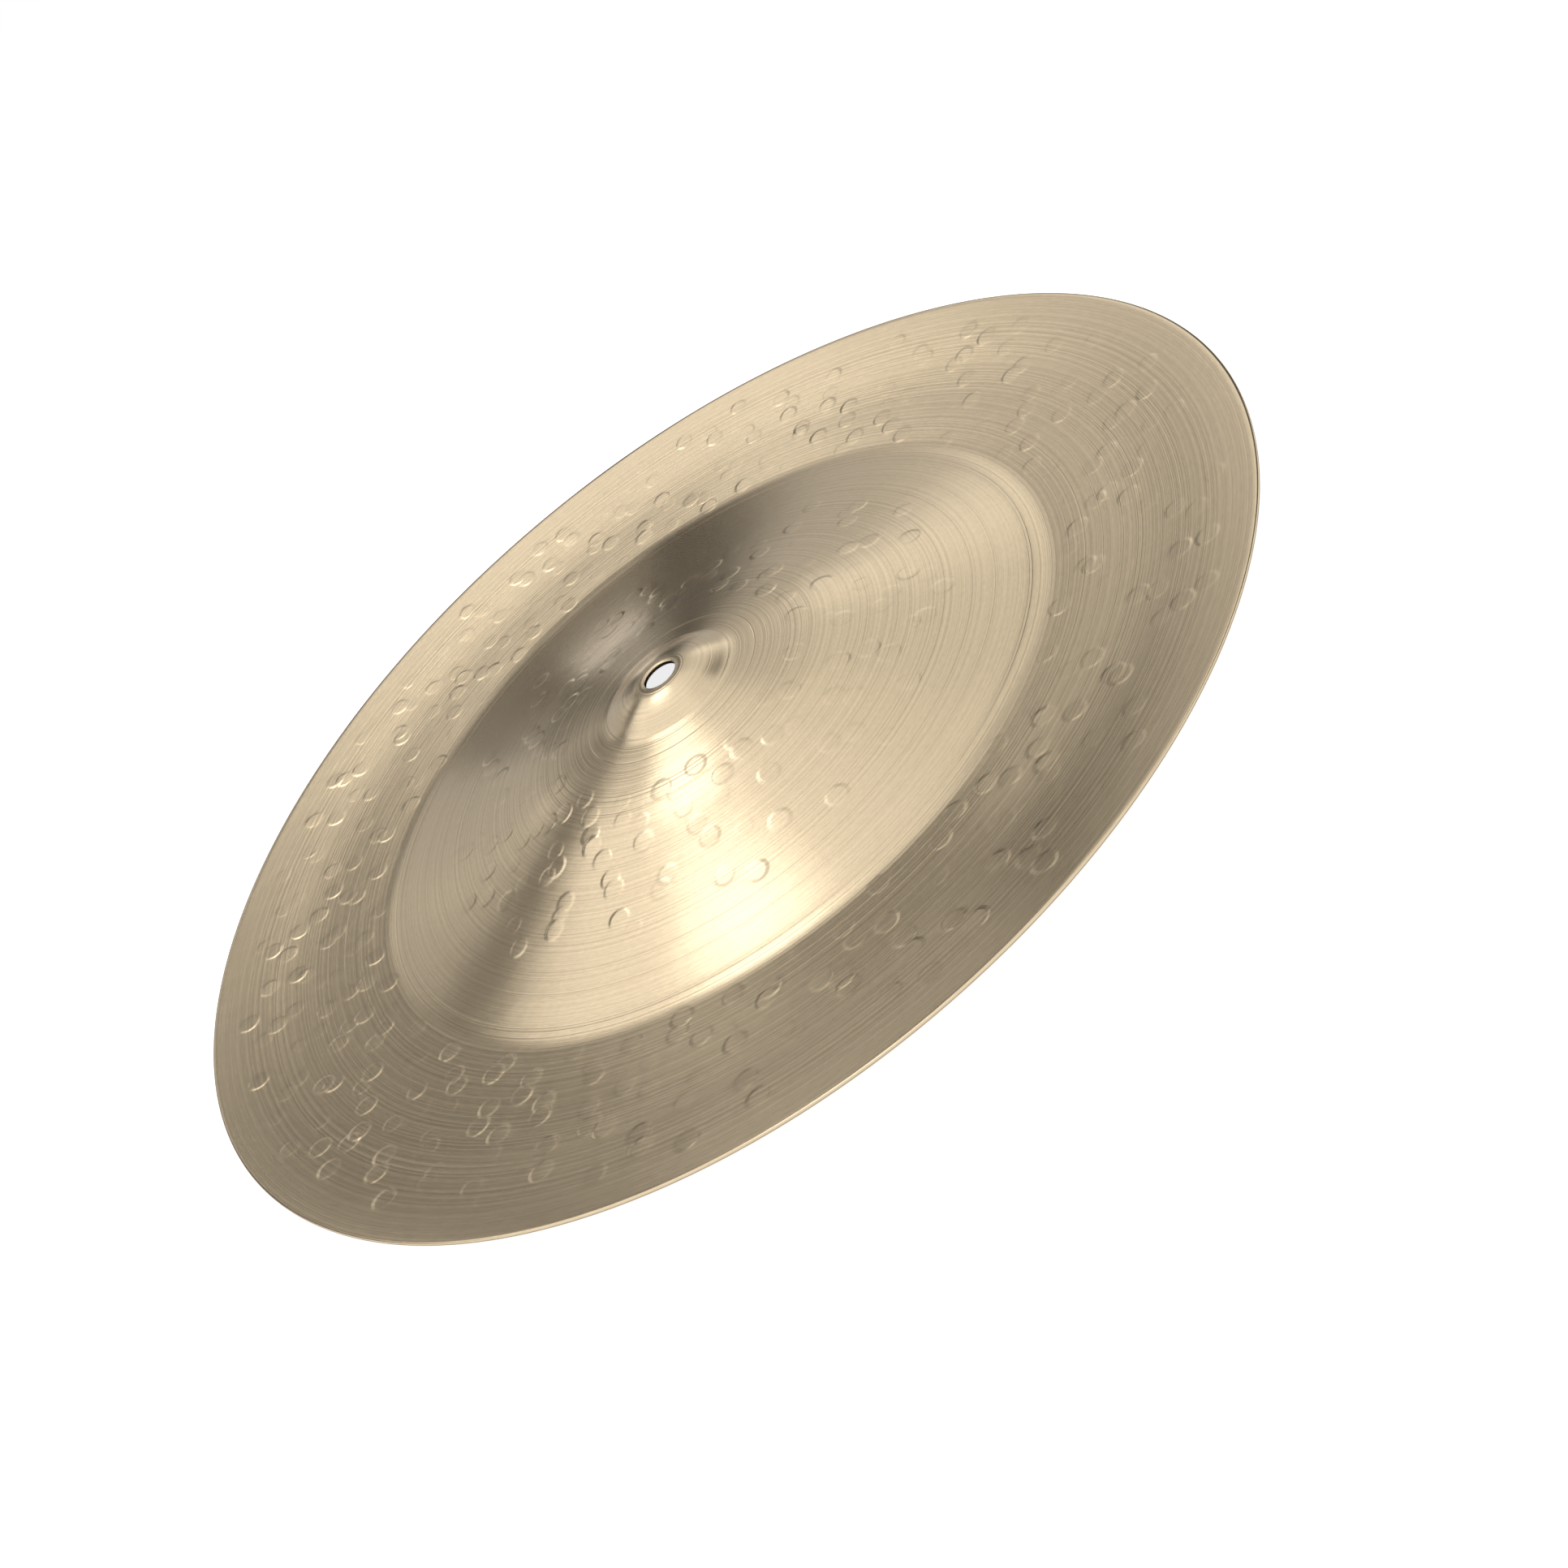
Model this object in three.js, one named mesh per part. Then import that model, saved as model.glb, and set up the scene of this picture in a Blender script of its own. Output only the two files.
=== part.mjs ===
import * as THREE from "three";

// A china cymbal is one disc of bronze, cast, rolled, hammered and turned to its shape.
// It lies bell up with its axis on Z, and the underside of its bend rests on the plane Z = 0.
// All lengths are in millimetres. Heights are those of the middle of the metal.

// Across the disc
const diameter = 457.2;
const bendDiameter = 294;
const cupDiameter = 55;
const landDiameter = 20.5;
const holeDiameter = 14;

// Up the cup, down the bow and up the flange
const cupHeight = 5.4;
const bowDrop = 19.3;
const flangeRise = 12.3;

// Thickness of the metal, which tapers from the cup to the rim
const cupThickness = 1.7;
const footThickness = 1.45;
const bendThickness = 1.0;
const rimThickness = 0.75;

// How far each corner of the outline is rounded to either side of it
const footRounding = 2.5;
const shoulderRounding = 14;
const waistRounding = 24;
const bendRounding = 7.5;
const kneeRounding = 12;

// Soft corners of the bow, from the foot of the cup to the bend, as shares of its width and drop
const shoulderShares = { out: 0.29, down: 0.25 };
const waistShares = { out: 0.62, down: 0.68 };

// Soft corner of the flange, from the bend to the rim, as shares of its width and rise
const kneeShares = { out: 0.48, up: 0.34 };

// The two edges of the hole are broken by a small bevel
const holeBevel = 0.5;

// How many steps each stretch of the outline has, and how many go round the disc
const cupSteps = 4;
const footSteps = 2;
const bowSteps = 6;
const bendSteps = 4;
const flangeSteps = 4;
const rimSteps = 4;
const stepsRound = 96;

const rimRadius = diameter / 2;
const bendRadius = bendDiameter / 2;
const footRadius = cupDiameter / 2;
const landRadius = landDiameter / 2;
const holeRadius = holeDiameter / 2;

// Bow and flange as straight runs between corners, from the foot of the cup to the rim
const bowWidth = bendRadius - footRadius;
const flangeWidth = rimRadius - bendRadius;
const corners = [
  { radius: footRadius, height: bowDrop },
  {
    radius: footRadius + shoulderShares.out * bowWidth,
    height: bowDrop - shoulderShares.down * bowDrop,
    rounding: shoulderRounding,
  },
  {
    radius: footRadius + waistShares.out * bowWidth,
    height: bowDrop - waistShares.down * bowDrop,
    rounding: waistRounding,
  },
  { radius: bendRadius, height: 0, rounding: bendRounding },
  {
    radius: bendRadius + kneeShares.out * flangeWidth,
    height: kneeShares.up * flangeRise,
    rounding: kneeRounding,
  },
  { radius: rimRadius, height: flangeRise },
];
const slopes = corners.slice(1).map((corner, i) => {
  const inner = corners[i];
  return (corner.height - inner.height) / (corner.radius - inner.radius);
});

// The cup is a spherical dome that passes through the edge of the land and the foot
const domeCentre = (landRadius ** 2 + cupHeight ** 2 - footRadius ** 2) / (2 * cupHeight);
const domeRadius = Math.hypot(footRadius, domeCentre);

// A ramp of slope one whose start is rounded into the level line before it
function softRamp(distance, rounding) {
  if (distance <= -rounding) return 0;
  if (distance >= rounding) return distance;
  return (distance + rounding) ** 2 / (4 * rounding);
}

// Bow and flange: every corner adds its change of slope as a soft ramp
function bowHeight(radius) {
  let height = corners[0].height + slopes[0] * (radius - corners[0].radius);
  for (let i = 1; i < slopes.length; i += 1) {
    const turn = slopes[i] - slopes[i - 1];
    height += turn * softRamp(radius - corners[i].radius, corners[i].rounding);
  }
  return height;
}

// Cup: the dome, pressed flat as a land round the hole for the washers to sit on
function cupHeightAt(radius) {
  const reach = THREE.MathUtils.clamp(radius, landRadius, domeRadius);
  return bowDrop + domeCentre + Math.sqrt(domeRadius ** 2 - reach ** 2);
}

// The middle of the metal: cup inside the foot, bow and flange outside it,
// with the valley between them rounded by a soft ramp
function middleHeight(radius) {
  const turnAtFoot = slopes[0] + footRadius / Math.abs(domeCentre);
  const valley = footRounding * turnAtFoot;
  const bow = bowHeight(radius);
  return bow + softRamp(cupHeightAt(radius) - bow, valley);
}

// Thickness at a radius, tapering evenly between the named ones
function thicknessAt(radius) {
  const stops = [
    { radius: landRadius, thickness: cupThickness },
    { radius: footRadius, thickness: footThickness },
    { radius: bendRadius, thickness: bendThickness },
    { radius: rimRadius, thickness: rimThickness },
  ];
  if (radius <= landRadius) return cupThickness;
  const outer = stops.findIndex((stop) => stop.radius >= radius);
  const from = stops[outer - 1];
  const to = stops[outer];
  return THREE.MathUtils.mapLinear(radius, from.radius, to.radius, from.thickness, to.thickness);
}

// The upward normal of the middle of the metal, measured over a short stretch
function normalAt(radius) {
  const stretch = rimThickness / 10;
  const rise = middleHeight(radius + stretch) - middleHeight(radius - stretch);
  return new THREE.Vector2(-rise, 2 * stretch).normalize();
}

// A point of the upper face (side 1) or of the underside (side -1)
function facePoint(radius, side) {
  const middle = new THREE.Vector2(radius, middleHeight(radius));
  return middle.addScaledVector(normalAt(radius), (side * thicknessAt(radius)) / 2);
}

// Radii where the outline is sampled outside the land, closer together where it turns
function outlineRadii() {
  const stretches = [
    { to: footRadius - footRounding, steps: cupSteps },
    { to: footRadius + footRounding, steps: footSteps },
    { to: bendRadius - bendRounding, steps: bowSteps },
    { to: bendRadius + bendRounding, steps: bendSteps },
    { to: rimRadius - rimThickness / 2, steps: flangeSteps },
  ];
  const radii = [];
  let from = landRadius;
  for (const { to, steps } of stretches) {
    for (let i = 1; i <= steps; i += 1) radii.push(from + ((to - from) * i) / steps);
    from = to;
  }
  return radii;
}

// The rounded edge of the rim, from the underside up to the upper face
function rimPoints() {
  const centreRadius = rimRadius - rimThickness / 2;
  const centre = new THREE.Vector2(centreRadius, middleHeight(centreRadius));
  const down = normalAt(centreRadius).negate();
  const points = [];
  for (let i = 1; i < rimSteps; i += 1) {
    const spoke = down.clone().rotateAround(new THREE.Vector2(), (Math.PI * i) / rimSteps);
    points.push(centre.clone().addScaledVector(spoke, rimThickness / 2));
  }
  return points;
}

// The land and the wall of the hole with its two bevels, from the upper face to the underside
function landPoints() {
  const top = middleHeight(landRadius) + cupThickness / 2;
  const bottom = middleHeight(landRadius) - cupThickness / 2;
  return [
    new THREE.Vector2(landRadius, top),
    new THREE.Vector2(holeRadius + holeBevel, top),
    new THREE.Vector2(holeRadius, top - holeBevel),
    new THREE.Vector2(holeRadius, bottom + holeBevel),
    new THREE.Vector2(holeRadius + holeBevel, bottom),
    new THREE.Vector2(landRadius, bottom),
  ];
}

// The closed section: out along the underside, round the rim, back along the upper face
// and down through the hole, lifted so that its lowest point is at zero
function section() {
  const radii = outlineRadii();
  const underside = radii.map((radius) => facePoint(radius, -1));
  const upperFace = radii.map((radius) => facePoint(radius, 1)).reverse();
  const points = [...underside, ...rimPoints(), ...upperFace, ...landPoints()];
  const lowest = Math.min(...points.map((point) => point.y));
  for (const point of points) point.y -= lowest;
  points.push(points[0].clone());
  return points;
}

const bronze = new THREE.MeshStandardMaterial({
  color: 0xc8b78c,
  metalness: 1,
  roughness: 0.34,
});

const cymbal = new THREE.Mesh(new THREE.LatheGeometry(section(), stepsRound), bronze);
cymbal.name = "cymbal";
cymbal.rotation.x = Math.PI / 2;

const chinaCymbal = new THREE.Group();
chinaCymbal.add(cymbal);

export default chinaCymbal;
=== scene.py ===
import math

import bmesh
import bpy
from mathutils import Matrix, Vector


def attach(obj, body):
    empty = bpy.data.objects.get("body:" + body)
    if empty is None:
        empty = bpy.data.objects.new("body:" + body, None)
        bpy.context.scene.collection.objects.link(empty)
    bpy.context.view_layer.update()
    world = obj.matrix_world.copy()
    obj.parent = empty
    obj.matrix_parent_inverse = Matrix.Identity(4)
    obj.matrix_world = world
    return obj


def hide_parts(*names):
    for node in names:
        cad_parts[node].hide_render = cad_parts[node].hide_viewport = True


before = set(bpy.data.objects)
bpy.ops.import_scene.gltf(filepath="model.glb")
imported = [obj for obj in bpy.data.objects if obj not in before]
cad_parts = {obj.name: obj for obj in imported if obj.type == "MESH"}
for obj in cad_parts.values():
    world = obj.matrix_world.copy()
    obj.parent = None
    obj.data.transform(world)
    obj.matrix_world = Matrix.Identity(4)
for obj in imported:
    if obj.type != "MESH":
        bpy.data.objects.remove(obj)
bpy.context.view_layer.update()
scene = bpy.context.scene

# The disc
# A china cymbal is one disc of cast bronze, rolled, hammered to a bow with an upturned flange,
# pressed up to a low cup round its hole, and turned thinner and thinner towards its rim.

rim_radius = 0.2286
bend_radius = 0.149
foot_radius = 0.0275
land_radius = 0.01025
hole_radius = 0.007
hole_bevel = 0.0003

cup_height = 0.0054
bow_drop = 0.01905
flange_rise = 0.0121

cup_metal = 0.0017
foot_metal = 0.00145
bend_metal = 0.001
rim_metal = 0.00075

foot_rounding = 0.0025
shoulder_radius, shoulder_share, shoulder_rounding = 0.0622, 0.75, 0.014
waist_radius, waist_share, waist_rounding = 0.1016, 0.32, 0.024
bend_rounding = 0.004
knee_radius, knee_share, knee_rounding = 0.1862, 0.34, 0.012

upper_steps = 104
under_steps = 44
rim_steps = 6
sectors = 24
sector_steps = 25
weld_distance = 0.000002

corners = [
    (foot_radius, bow_drop, 0),
    (shoulder_radius, shoulder_share * bow_drop, shoulder_rounding),
    (waist_radius, waist_share * bow_drop, waist_rounding),
    (bend_radius, 0, bend_rounding),
    (knee_radius, knee_share * flange_rise, knee_rounding),
    (rim_radius, flange_rise, 0),
]
slopes = [(b[1] - a[1]) / (b[0] - a[0]) for a, b in zip(corners, corners[1:])]
dome_centre = (land_radius**2 + cup_height**2 - foot_radius**2) / (2 * cup_height)
dome_radius = math.hypot(foot_radius, dome_centre)


def soft_ramp(distance, rounding):
    if distance <= -rounding:
        return 0
    if distance >= rounding:
        return distance
    return (distance + rounding) ** 2 / (4 * rounding)


def bow_height(radius):
    height = bow_drop + slopes[0] * (radius - foot_radius)
    for i in range(1, len(slopes)):
        at, _, rounding = corners[i]
        height += (slopes[i] - slopes[i - 1]) * soft_ramp(radius - at, rounding)
    return height


def dome_height(radius):
    reach = min(max(radius, land_radius), dome_radius)
    return bow_drop + dome_centre + math.sqrt(dome_radius**2 - reach**2)


def metal_height(radius):
    valley = foot_rounding * (slopes[0] + foot_radius / abs(dome_centre))
    bow = bow_height(radius)
    return bow + soft_ramp(dome_height(radius) - bow, valley)


def metal_thickness(radius):
    stops = [
        (0, cup_metal),
        (land_radius, cup_metal),
        (foot_radius, foot_metal),
        (bend_radius, bend_metal),
        (rim_radius, rim_metal),
    ]
    for (a, thick_a), (b, thick_b) in zip(stops, stops[1:]):
        if radius <= b:
            return thick_a + (thick_b - thick_a) * (radius - a) / (b - a)
    return rim_metal


resting = bend_metal / 2 - metal_height(bend_radius)


def face_point(radius, side):
    near = 0.0001
    slope = (metal_height(radius + near) - metal_height(radius - near)) / (2 * near)
    normal = Vector((-slope, 0, 1)).normalized()
    middle = Vector((radius, 0, metal_height(radius) + resting))
    return middle + side * normal * metal_thickness(radius) / 2


def face_points(steps, side):
    width = rim_radius - rim_metal / 2 - land_radius
    return [face_point(land_radius + width * i / steps, side) for i in range(1, steps + 1)]


disc = bmesh.new()
upper = face_points(upper_steps, 1)
under = face_points(under_steps, -1)
rim_centre = (upper[-1] + under[-1]) / 2
rim = []
for i in range(1, rim_steps):
    spoke = (under[-1] - rim_centre).copy()
    spoke.rotate(Matrix.Rotation(-math.pi * i / rim_steps, 3, "Y"))
    rim.append(rim_centre + spoke)
land_top = metal_height(land_radius) + resting + cup_metal / 2
land_bottom = land_top - cup_metal
land = [
    Vector((land_radius, 0, land_top)),
    Vector((hole_radius + hole_bevel, 0, land_top)),
    Vector((hole_radius + hole_bevel / 4, 0, land_top - hole_bevel / 4)),
    Vector((hole_radius, 0, land_top - hole_bevel)),
    Vector((hole_radius, 0, land_bottom + hole_bevel)),
    Vector((hole_radius + hole_bevel / 4, 0, land_bottom + hole_bevel / 4)),
    Vector((hole_radius + hole_bevel, 0, land_bottom)),
    Vector((land_radius, 0, land_bottom)),
]
outline = [disc.verts.new(p) for p in under + rim + upper[::-1] + land]
edges = [disc.edges.new(pair) for pair in zip(outline, outline[1:] + outline[:1])]
bmesh.ops.spin(
    disc,
    geom=outline + edges,
    cent=(0, 0, 0),
    axis=(0, 0, 1),
    angle=2 * math.pi / sectors,
    steps=sector_steps,
)
sector = disc.verts[:] + disc.edges[:] + disc.faces[:]
for i in range(1, sectors):
    copied = bmesh.ops.duplicate(disc, geom=sector)["geom"]
    turn = Matrix.Rotation(2 * math.pi * i / sectors, 3, "Z")
    verts = [item for item in copied if isinstance(item, bmesh.types.BMVert)]
    bmesh.ops.rotate(disc, verts=verts, cent=(0, 0, 0), matrix=turn)
bmesh.ops.remove_doubles(disc, verts=disc.verts, dist=weld_distance)
bmesh.ops.recalc_face_normals(disc, faces=disc.faces)

# The hammer marks
# A smith strikes the disc from below with a round-faced hammer, ring after ring round the bow and
# the flange. Each blow raises a low mark, and no two fall quite alike. The mesh carries the broad
# part of the marks, and the material adds their sharper edges.

mark_radius = 0.0042
mark_edge = 0.0009
mark_rise = 0.00008
mark_tilt = 0.012
mark_stray = 0.0016
smaller_mark = 0.8
ring_gap = 0.0125
rings_per_band = 5
mark_bands = [(0.055, 18), (0.0615, 17), (0.1555, 38), (0.162, 38)]

usual_force = 0.65
side_force = -0.12
force_swing = 0.5
ring_seed, band_seed = 7, 3
sway_pace, stray_pace, swing_pace, lean_pace = 5.3, 3.7, 7.9, 9.7

mesh_share = 0.4
mesh_edge_out = 0.0008
mesh_edge_width = 0.0024


def raised(x, y):
    reach = math.hypot(x, y)
    turns = math.atan2(y, x) / (2 * math.pi)
    rise = 0
    for band, (inner, blows) in enumerate(mark_bands):
        ring = min(max(round((reach - inner) / ring_gap), 0), rings_per_band - 1)
        radius = inner + ring * ring_gap
        if abs(reach - radius) > ring_gap / 2:
            continue
        half_turn = ring % 2 / 2
        number = round(turns * blows - half_turn)
        seed = number % blows + ring_seed * ring + band_seed * band
        loose = 0.5 - (mark_radius + mark_edge) * blows / (2 * math.pi * radius)
        sway = math.sin(sway_pace * seed)
        towards = (number + half_turn + loose * sway) * 2 * math.pi / blows
        at = radius + mark_stray * math.sin(stray_pace * seed)
        heavy = usual_force + side_force * math.cos(towards)
        force = min(max(heavy + force_swing * math.sin(swing_pace * seed), 0), 1)
        size = mark_radius * (smaller_mark + (1 - smaller_mark) * force)
        away = math.dist((x, y), (at * math.cos(towards), at * math.sin(towards)))
        edge = min(max((size + mesh_edge_out - away) / mesh_edge_width, 0), 1)
        rise += force * mark_rise * edge * edge * (3 - 2 * edge)
    return rise


for vert in disc.verts:
    vert.co.z += mesh_share * raised(vert.co.x, vert.co.y)

disc_mesh = bpy.data.meshes.new("bronze_disc")
disc.to_mesh(disc_mesh)
disc.free()
disc_mesh.shade_smooth()
disc_piece = bpy.data.objects.new("bronze_disc", disc_mesh)
scene.collection.objects.link(disc_piece)

# The turned bronze
# Tin bronze is a pale warm gold, and turning leaves it satin: fine rings scored by the lathe run
# right round both faces, dense on the bow and flange and fading to a smooth band at the rim.

bronze = bpy.data.materials.new("turned_bronze")
bronze.use_nodes = True
tree = bronze.node_tree
nodes = tree.nodes
links = tree.links
nodes.clear()


def math_node(tree, operation, first, second=None, third=None):
    node = tree.nodes.new("ShaderNodeMath")
    node.operation = operation
    for socket, value in zip(node.inputs, (first, second, third)):
        if isinstance(value, bpy.types.NodeSocket):
            tree.links.new(value, socket)
        elif value is not None:
            socket.default_value = value
    return node.outputs[0]


def length_node(tree, first, second):
    square = math_node(tree, "MULTIPLY", second, second)
    return math_node(tree, "SQRT", math_node(tree, "MULTIPLY_ADD", first, first, square))


def clamp_node(tree, value, top):
    return math_node(tree, "MINIMUM", math_node(tree, "MAXIMUM", value, 0), top)


def range_node(tree, value, low, high, to_low=0, to_high=1, smooth=False):
    node = tree.nodes.new("ShaderNodeMapRange")
    if smooth:
        node.interpolation_type = "SMOOTHSTEP"
    tree.links.new(value, node.inputs["Value"])
    node.inputs["From Min"].default_value = low
    node.inputs["From Max"].default_value = high
    node.inputs["To Min"].default_value = to_low
    node.inputs["To Max"].default_value = to_high
    return node.outputs[0]


place = nodes.new("ShaderNodeTexCoord").outputs["Object"]
split = nodes.new("ShaderNodeSeparateXYZ")
links.new(place, split.inputs[0])
x, y = split.outputs[0], split.outputs[1]
reach = length_node(tree, x, y)
bearing = math_node(tree, "ARCTAN2", y, x)

# One group draws the five rings of a band, with the same rule as the mesh
band_tree = bpy.data.node_groups.new("hammer_band", "ShaderNodeTree")
for name in ("Reach", "Bearing", "Inner", "Blows", "Band"):
    band_tree.interface.new_socket(name, in_out="INPUT", socket_type="NodeSocketFloat")
band_tree.interface.new_socket("Rise", in_out="OUTPUT", socket_type="NodeSocketFloat")
band_in = band_tree.nodes.new("NodeGroupInput").outputs
band_out = band_tree.nodes.new("NodeGroupOutput").inputs
ring_blows = band_in["Blows"]


def in_band(operation, first, second=None, third=None):
    return math_node(band_tree, operation, first, second, third)


ring = in_band("SUBTRACT", band_in["Reach"], band_in["Inner"])
ring = in_band("ROUND", in_band("DIVIDE", ring, ring_gap))
ring = clamp_node(band_tree, ring, rings_per_band - 1)
radius = in_band("MULTIPLY_ADD", ring, ring_gap, band_in["Inner"])
half_turn = in_band("MULTIPLY", in_band("FLOORED_MODULO", ring, 2), 0.5)
turns = in_band("DIVIDE", in_band("MULTIPLY", band_in["Bearing"], ring_blows), 2 * math.pi)
number = in_band("ROUND", in_band("SUBTRACT", turns, half_turn))
seed = in_band("MULTIPLY_ADD", ring, ring_seed, in_band("FLOORED_MODULO", number, ring_blows))
seed = in_band("MULTIPLY_ADD", band_in["Band"], band_seed, seed)
sway = in_band("SINE", in_band("MULTIPLY", seed, sway_pace))
stray = in_band("SINE", in_band("MULTIPLY", seed, stray_pace))
swing = in_band("SINE", in_band("MULTIPLY", seed, swing_pace))
lean = in_band("SINE", in_band("MULTIPLY", seed, lean_pace))

taken = in_band("MULTIPLY", ring_blows, (mark_radius + mark_edge) / (2 * math.pi))
loose = in_band("SUBTRACT", 0.5, in_band("DIVIDE", taken, radius))
centre = in_band("ADD", number, in_band("MULTIPLY_ADD", sway, loose, half_turn))
along = in_band("DIVIDE", in_band("SUBTRACT", turns, centre), ring_blows)
along = in_band("MULTIPLY", along, in_band("MULTIPLY", band_in["Reach"], 2 * math.pi))
at = in_band("MULTIPLY_ADD", stray, mark_stray, radius)
outward = in_band("SUBTRACT", band_in["Reach"], at)
away = length_node(band_tree, along, outward)

towards = in_band("DIVIDE", in_band("MULTIPLY", centre, 2 * math.pi), ring_blows)
heavy = in_band("MULTIPLY_ADD", in_band("COSINE", towards), side_force, usual_force)
force = clamp_node(band_tree, in_band("MULTIPLY_ADD", swing, force_swing, heavy), 1)
growth = (1 - smaller_mark) * mark_radius
size = in_band("MULTIPLY_ADD", force, growth, smaller_mark * mark_radius)
past = in_band("SUBTRACT", away, size)
edge = range_node(band_tree, past, mark_edge, -mark_edge, smooth=True)
tilt = in_band("MULTIPLY_ADD", lean, outward, in_band("MULTIPLY", sway, along))
face = in_band("MULTIPLY_ADD", tilt, mark_tilt, mark_rise)
rise = in_band("MULTIPLY", force, in_band("MULTIPLY", edge, face))
band_tree.links.new(rise, band_out["Rise"])

marks = 0
for band, (inner, blows) in enumerate(mark_bands):
    group = nodes.new("ShaderNodeGroup")
    group.node_tree = band_tree
    links.new(reach, group.inputs["Reach"])
    links.new(bearing, group.inputs["Bearing"])
    group.inputs["Inner"].default_value = inner
    group.inputs["Blows"].default_value = blows
    group.inputs["Band"].default_value = band
    marks = math_node(tree, "ADD", group.outputs["Rise"], marks)

# The lathe's rings: fine turning all over, deeper lines among it, and a few lines on their own
turning_scale = 800
turning_depth = 0.000028
deep_lines_per_metre = 520
deep_line_width = 0.0003
deep_line_depth = 0.00003
weakest_line = 0.35
lone_line_width = 0.00045
lone_lines = [
    (0.0104, 0.00003),
    (0.0177, 0.000015),
    (0.0214, 0.000015),
    (0.028, 0.00004),
    (0.038, 0.00004),
    (0.0595, 0.00003),
    (0.1421, 0.00004),
    (0.1432, 0.00004),
]
turned_shares = [
    (0.05, 0.4),
    (0.12, 0.5),
    (0.13, 1),
    (0.25, 1),
    (0.31, 0.8),
    (0.6, 0.8),
    (0.66, 1),
    (0.93, 1),
    (0.97, 0.5),
]


def noise_node(place, scale, detail, roughness=0.5, line=False):
    noise = nodes.new("ShaderNodeTexNoise")
    if line:
        noise.noise_dimensions = "1D"
    links.new(place, noise.inputs["W" if line else "Vector"])
    noise.inputs["Scale"].default_value = scale
    noise.inputs["Detail"].default_value = detail
    noise.inputs["Roughness"].default_value = roughness
    return noise.outputs["Fac"]


turned_ramp = nodes.new("ShaderNodeValToRGB")
links.new(math_node(tree, "DIVIDE", reach, rim_radius), turned_ramp.inputs[0])
stops = turned_ramp.color_ramp.elements
stops[0].position, stops[1].position = turned_shares[0][0], turned_shares[-1][0]
for position, _ in turned_shares[1:-1]:
    stops.new(position)
for stop, (_, strength) in zip(stops, turned_shares):
    stop.color = (strength, strength, strength, 1)
turned_band = turned_ramp.outputs[0]
worn = range_node(tree, noise_node(place, 14, 3), 0.3, 0.6, to_low=0.75)

line_cells = nodes.new("ShaderNodeTexVoronoi")
line_cells.voronoi_dimensions = "1D"
line_cells.inputs["Scale"].default_value = deep_lines_per_metre
links.new(reach, line_cells.inputs["W"])
near_line = deep_line_width * deep_lines_per_metre
line = range_node(tree, line_cells.outputs["Distance"], near_line, 0, smooth=True)
strength = range_node(tree, line_cells.outputs["Color"], weakest_line, 1)
deep_lines = math_node(tree, "MULTIPLY", line, strength)
turning = noise_node(reach, turning_scale, 3, 0.75, line=True)

grooves = math_node(tree, "MULTIPLY", deep_lines, deep_line_depth)
grooves = math_node(tree, "MULTIPLY_ADD", turning, -turning_depth, grooves)
grooves = math_node(tree, "MULTIPLY", math_node(tree, "MULTIPLY", grooves, turned_band), worn)
for radius, depth in lone_lines:
    off = math_node(tree, "ABSOLUTE", math_node(tree, "SUBTRACT", reach, radius))
    cut = range_node(tree, off, lone_line_width, 0, smooth=True)
    grooves = math_node(tree, "MULTIPLY_ADD", cut, depth, grooves)

# The lathe also rolls the edge of the rim over, and hammering leaves the faces a little uneven
edge_roll_width = 0.0014
edge_roll_drop = 0.0003
uneven_height = 0.0001

past = math_node(tree, "SUBTRACT", reach, rim_radius - edge_roll_width)
past = math_node(tree, "MAXIMUM", past, 0)
rolled = math_node(tree, "MULTIPLY", past, past)
rolled = math_node(tree, "MULTIPLY", rolled, edge_roll_drop / edge_roll_width**2)
uneven = math_node(tree, "MULTIPLY", noise_node(place, 38, 2), uneven_height)
relief = math_node(tree, "SUBTRACT", uneven, math_node(tree, "ADD", grooves, rolled))
bump = nodes.new("ShaderNodeBump")
bump.inputs["Strength"].default_value = 1
bump.inputs["Distance"].default_value = 1
links.new(math_node(tree, "ADD", relief, marks), bump.inputs["Height"])

# Painted shade darkens the bronze down in the grooves, most in the deep lines, and thin streaks
# along them darken the bronze
bright_bronze = (0.86, 0.70, 0.475, 1)
dark_bronze = (0.50, 0.39, 0.25, 1)
line_shade = 0.5
turning_shade = 0.4
streak_stain = 0.16
streak_turns = 50
streaks_per_metre = 1200

streak_place = nodes.new("ShaderNodeCombineXYZ")
for socket, side in ((0, x), (1, y)):
    across = math_node(tree, "DIVIDE", side, reach)
    links.new(math_node(tree, "MULTIPLY", across, streak_turns), streak_place.inputs[socket])
links.new(math_node(tree, "MULTIPLY", reach, streaks_per_metre), streak_place.inputs[2])
streaks = noise_node(streak_place.outputs[0], 1, 2)
streak = range_node(tree, streaks, 0.3, 0.7, to_high=streak_stain)
# Painted shade: darker where the turned surface lies lower and in the deep lines
groove_shade = range_node(tree, turning, 0.62, 0.38, to_high=turning_shade)
groove_shade = math_node(tree, "MULTIPLY_ADD", deep_lines, line_shade, groove_shade)
groove_shade = math_node(tree, "MULTIPLY", math_node(tree, "MULTIPLY", groove_shade, turned_band), worn)
tone = nodes.new("ShaderNodeMix")
tone.data_type = "RGBA"
tone.inputs["A"].default_value = bright_bronze
tone.inputs["B"].default_value = dark_bronze
links.new(math_node(tree, "ADD", groove_shade, streak), tone.inputs["Factor"])

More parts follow.
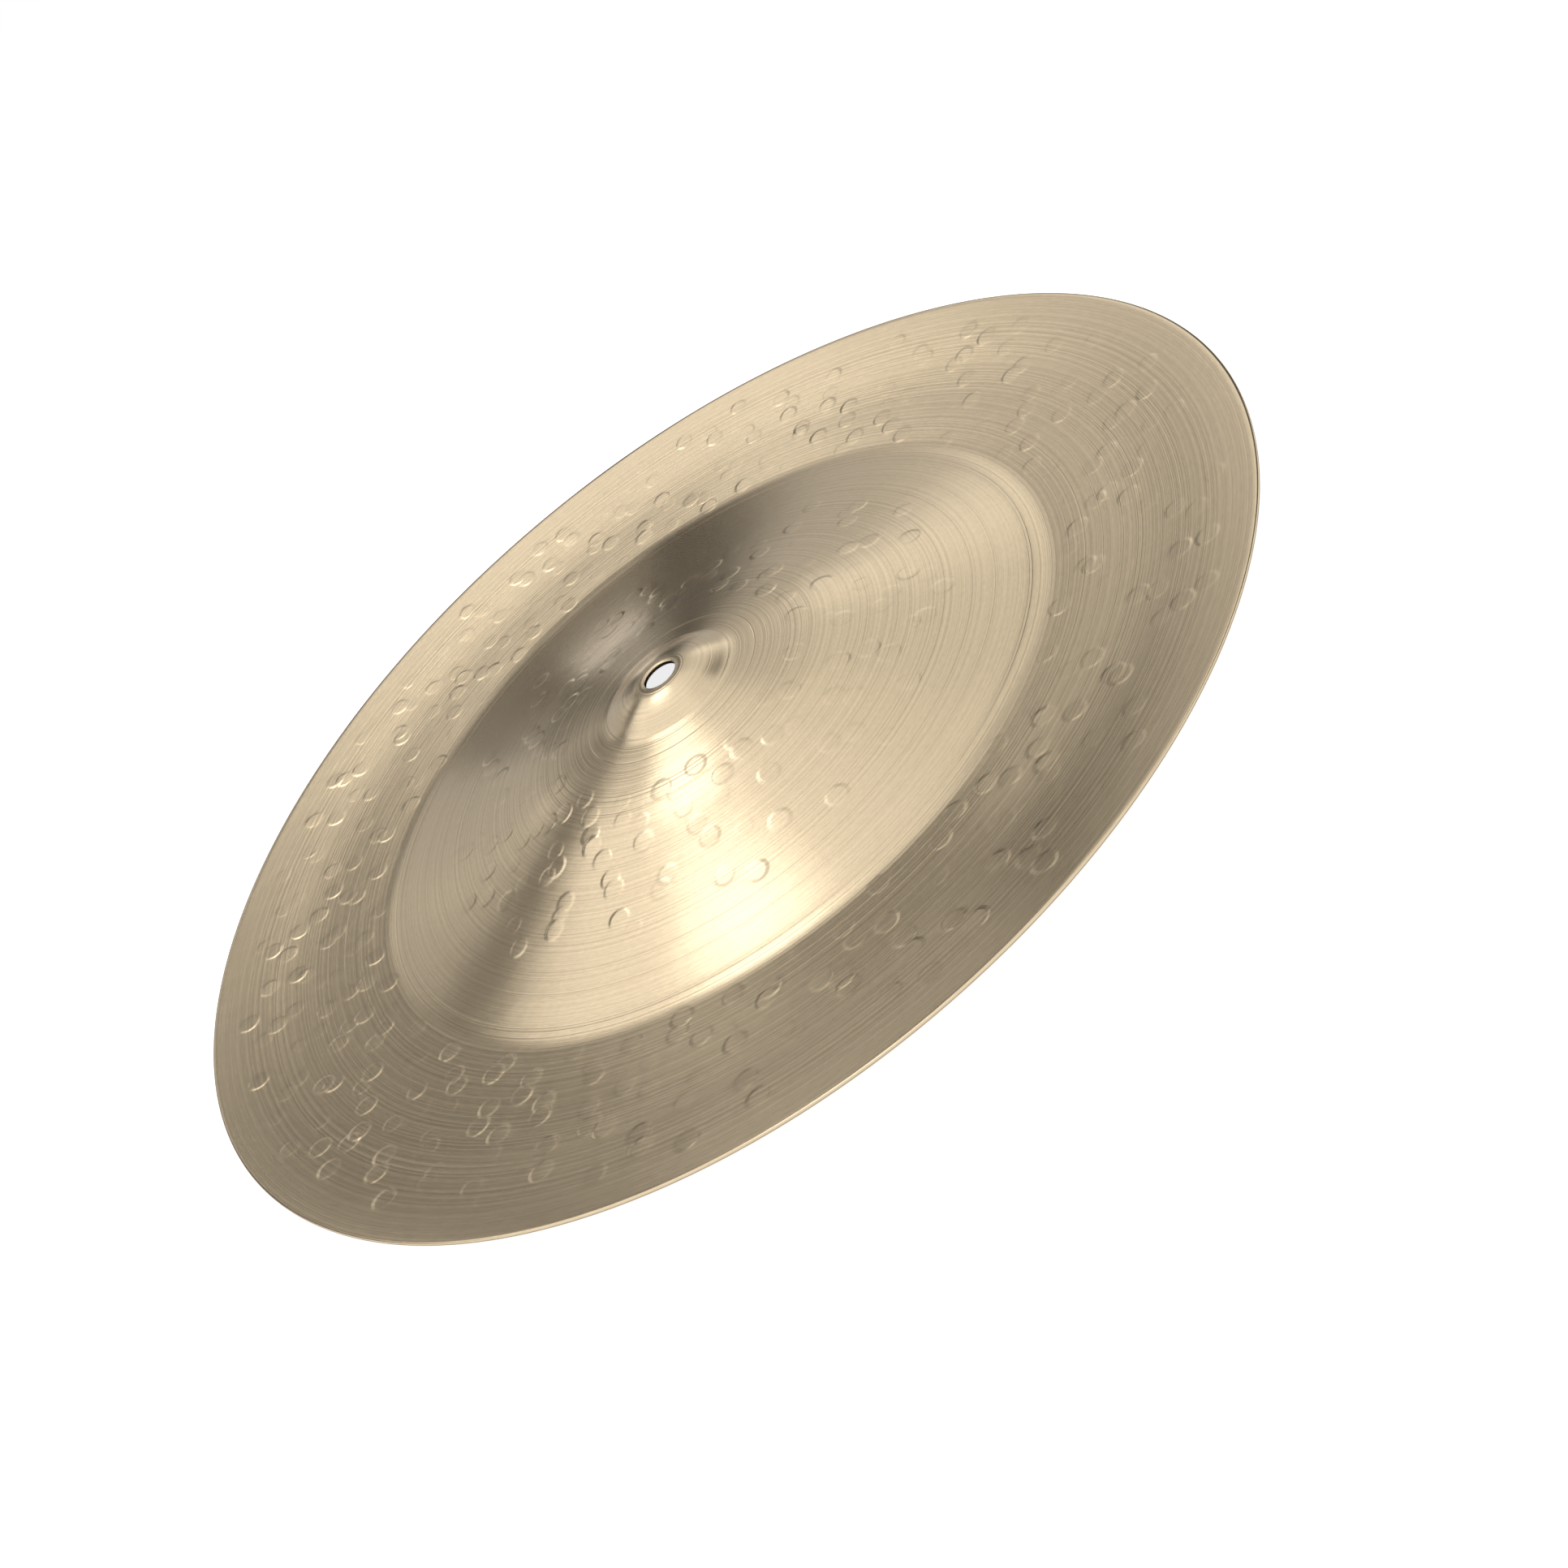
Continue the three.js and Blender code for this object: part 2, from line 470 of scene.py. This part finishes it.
tangent = nodes.new("ShaderNodeTangent")
tangent.direction_type = "RADIAL"
tangent.axis = "Z"
shader = nodes.new("ShaderNodeBsdfPrincipled")
shader.inputs["Metallic"].default_value = 1
shader.inputs["Roughness"].default_value = 0.21
shader.inputs["Anisotropic"].default_value = 0.5
shader.inputs["Anisotropic Rotation"].default_value = 0.25
links.new(tangent.outputs[0], shader.inputs["Tangent"])
links.new(bump.outputs[0], shader.inputs["Normal"])
links.new(tone.outputs["Result"], shader.inputs["Base Color"])
links.new(shader.outputs[0], nodes.new("ShaderNodeOutputMaterial").inputs[0])

disc_mesh.materials.append(bronze)
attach(disc_piece, "root")
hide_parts("cymbal")

# The studio floor
# A plain white sheet under the bend of the disc. It shows white to the camera, and keeps the
# soft shadow that the disc throws on it.

floor_size = 15
floor_depth = 0.0002
paper_colour = (0.8, 0.8, 0.8, 1)
paper_glow = (0.84, 0.84, 0.84, 1)

floor = bmesh.new()
bmesh.ops.create_grid(floor, x_segments=1, y_segments=1, size=floor_size)
bmesh.ops.translate(floor, verts=floor.verts, vec=(0, 0, -floor_depth))
floor_mesh = bpy.data.meshes.new("floor")
floor.to_mesh(floor_mesh)
floor.free()
floor_piece = bpy.data.objects.new("floor", floor_mesh)
scene.collection.objects.link(floor_piece)
paper = bpy.data.materials.new("white_paper")
paper.use_nodes = True
nodes = paper.node_tree.nodes
links = paper.node_tree.links
nodes.clear()
matte = nodes.new("ShaderNodeBsdfDiffuse")
matte.inputs["Color"].default_value = paper_colour
glow = nodes.new("ShaderNodeEmission")
glow.inputs["Color"].default_value = paper_glow
links.new(nodes.new("ShaderNodeLightPath").outputs["Is Camera Ray"], glow.inputs["Strength"])
both = nodes.new("ShaderNodeAddShader")
links.new(matte.outputs[0], both.inputs[0])
links.new(glow.outputs[0], both.inputs[1])
links.new(both.outputs[0], nodes.new("ShaderNodeOutputMaterial").inputs[0])
floor_mesh.materials.append(paper)

# The studio light
# Even white light all round, with one soft lamp behind and above the disc. Grey cards stand round
# it out of the camera's sight, and only the bronze shows them.

sky_light = 0.75
sky_shown = 1

world = bpy.data.worlds.new("studio")
scene.world = world
world.use_nodes = True
tree = world.node_tree
tree.nodes.clear()
path = tree.nodes.new("ShaderNodeLightPath").outputs
seen = math_node(tree, "MAXIMUM", path["Is Camera Ray"], path["Is Glossy Ray"])
seen = math_node(tree, "MAXIMUM", seen, path["Is Transmission Ray"])
sky = tree.nodes.new("ShaderNodeBackground")
level = math_node(tree, "MULTIPLY_ADD", seen, sky_shown - sky_light, sky_light)
tree.links.new(level, sky.inputs["Strength"])
sky.inputs["Color"].default_value = (1, 1, 1, 1)
tree.links.new(sky.outputs[0], tree.nodes.new("ShaderNodeOutputWorld").inputs[0])

lamp = bpy.data.lights.new("soft_lamp", "AREA")
lamp.shape = "DISK"
lamp.size = 0.5
lamp.energy = 1.6
lamp_bearing, lamp_height, lamp_distance = math.radians(99), math.radians(48), 3
lamp_piece = bpy.data.objects.new("soft_lamp", lamp)
lamp_piece.location = lamp_distance * Vector((
    math.cos(lamp_bearing) * math.cos(lamp_height),
    math.sin(lamp_bearing) * math.cos(lamp_height),
    math.sin(lamp_height),
))
lamp_piece.rotation_euler = lamp_piece.location.to_track_quat("Z", "Y").to_euler()
scene.collection.objects.link(lamp_piece)


# A card is a piece of a wide cylinder round the disc, and fades out towards its edges. Bearing,
# width and the two heights are in degrees as the disc sees them, and soft is a share of its size.
def grey_card(name, bearing, width, low, high, distance, grey, soft):
    card = bmesh.new()
    card.loops.layers.uv.new("edge_map")
    bmesh.ops.create_grid(card, x_segments=24, y_segments=4, size=0.5, calc_uvs=True)
    for vert in card.verts:
        across, up, _ = vert.co
        turn = math.radians(bearing + width * across)
        rise = math.tan(math.radians(low + (high - low) * (up + 0.5)))
        vert.co = distance * Vector((math.cos(turn), math.sin(turn), rise))
    mesh = bpy.data.meshes.new(name)
    card.to_mesh(mesh)
    card.free()
    piece = bpy.data.objects.new(name, mesh)
    scene.collection.objects.link(piece)

    shade = bpy.data.materials.new(name)
    shade.use_nodes = True
    tree = shade.node_tree
    tree.nodes.clear()
    spread = tree.nodes.new("ShaderNodeUVMap")
    spread.uv_map = "edge_map"
    split = tree.nodes.new("ShaderNodeSeparateXYZ")
    tree.links.new(spread.outputs[0], split.inputs[0])
    solid = 1
    for socket in split.outputs[:2]:
        off = math_node(tree, "ABSOLUTE", math_node(tree, "SUBTRACT", socket, 0.5))
        fade = range_node(tree, off, 0.5, 0.5 - soft, smooth=True)
        solid = math_node(tree, "MULTIPLY", fade, solid)
    glow = tree.nodes.new("ShaderNodeEmission")
    glow.inputs["Color"].default_value = (grey, grey, grey, 1)
    clear = tree.nodes.new("ShaderNodeBsdfTransparent")
    face = tree.nodes.new("ShaderNodeMixShader")
    tree.links.new(solid, face.inputs[0])
    tree.links.new(clear.outputs[0], face.inputs[1])
    tree.links.new(glow.outputs[0], face.inputs[2])
    tree.links.new(face.outputs[0], tree.nodes.new("ShaderNodeOutputMaterial").inputs[0])
    mesh.materials.append(shade)
    piece.visible_camera = False
    piece.visible_diffuse = False
    piece.visible_shadow = False
    piece.visible_transmission = False


grey_card("grey_card_wide", 91, 120, -5, 48, 6, 0.49, 0.1)
grey_card("grey_card_left", 58, 40, 20, 75, 5.9, 0.8, 0.1)
grey_card("bright_card_middle", 88.5, 11, 27, 44, 5.8, 1.25, 0.15)
grey_card("bright_card_right", 115, 28, 33.5, 50, 5.7, 1.15, 0.05)
grey_card("dark_card_low", 90, 27, -4, 25, 5.6, 0.05, 0.3)
grey_card("light_strip_low", 92, 8, -3, 7, 5.5, 1.25, 0.3)
grey_card("dark_card_right", 113, 18, 29.3, 37, 5.4, 0, 0.15)
grey_card("dark_card_middle", 90, 11, 8, 38, 5.3, 0, 0.25)
grey_card("dark_strip", 101, 4, 21, 45, 5.2, 0.15, 0.05)
grey_card("light_card_middle", 94, 14, 13.5, 23.5, 5.1, 0.6, 0.1)
grey_card("dark_card_foot", 98, 9, 9, 19, 5, 0.1, 0.1)
grey_card("dark_card_side", 135, 24, 5, 45, 4.9, 0, 0.25)
grey_card("light_card_left", 69, 16, 22, 34, 4.8, 1.1, 0.3)
grey_card("light_card_high", 73, 10, 44, 53, 4.7, 1, 0.3)
grey_card("dark_card_low_left", 84.5, 6, -9, 9, 4.6, 0.1, 0.3)
grey_card("dark_card_corner", 102, 7, 23.5, 30, 4.5, 0, 0.2)
grey_card("dark_card_rim", 46, 30, -5, 62, 4.3, 0, 0.2)
grey_card("light_strip_side", 108, 5, 22, 27, 4.4, 1.05, 0.25)

# The camera
# It looks down on the near side of the disc from about arm's length, rolled so that the disc
# hangs across the picture from lower left to upper right.

half_view = math.radians(24)
camera_place = (0.00923, -0.58592, 0.3290)
right = Vector((0.7652, -0.3479, -0.5417))
up = Vector((0.6438, 0.4135, 0.6439))

camera = bpy.data.cameras.new("camera")
camera.sensor_width = 36
camera.lens = camera.sensor_width / 2 / math.tan(half_view)
camera_piece = bpy.data.objects.new("camera", camera)
back = right.cross(up).normalized()
up = back.cross(right).normalized()
right.normalize()
turn = Matrix((right, up, back)).transposed().to_4x4()
camera_piece.matrix_world = Matrix.Translation(camera_place) @ turn
scene.collection.objects.link(camera_piece)
scene.camera = camera_piece

scene.view_settings.view_transform = "Standard"
